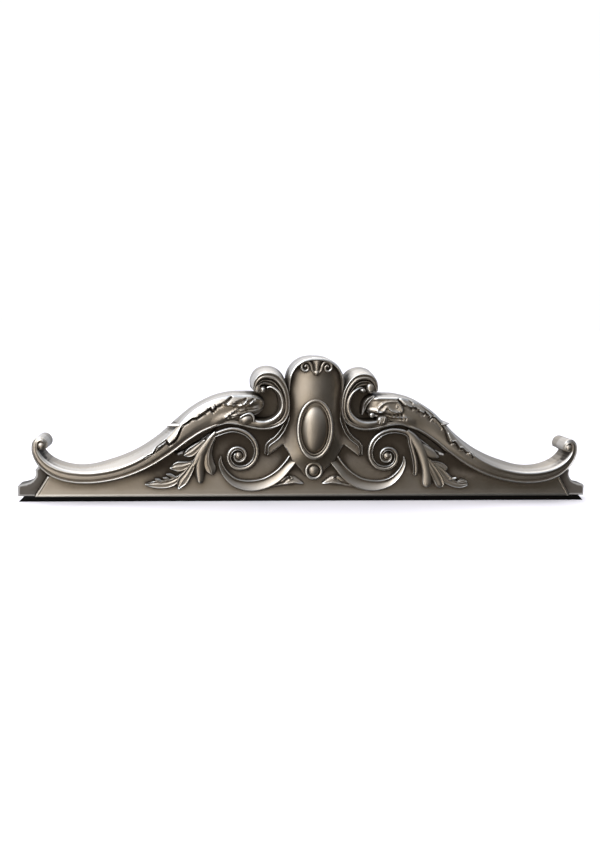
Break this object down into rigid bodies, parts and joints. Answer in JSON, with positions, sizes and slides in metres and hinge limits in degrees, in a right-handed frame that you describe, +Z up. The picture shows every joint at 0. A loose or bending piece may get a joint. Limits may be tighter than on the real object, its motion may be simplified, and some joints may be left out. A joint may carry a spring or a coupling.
{
  "type": "scroll onlay",
  "caption": "Low pediment-shaped cast metal onlay with long S-scrolls rising to C-scrolls, leaf sprays and a central cartouche with an oval boss; flat back and underside.",
  "frame": {"origin": "centre of the bounding box at the underside, where the casting stands", "axes": "+X along the casting to the viewer's right, +Y into its depth towards the flat back, +Z up; the front faces -Y"},
  "size_m": [0.6, 0.0356, 0.152],
  "materials": {
    "antique_metal": "satin cast metal with a dark brown patina in the hollows and bright rubbed edges"
  },
  "bodies": {
    "root": {"scroll_onlay": "antique_metal"}
  },
  "joints": []
}
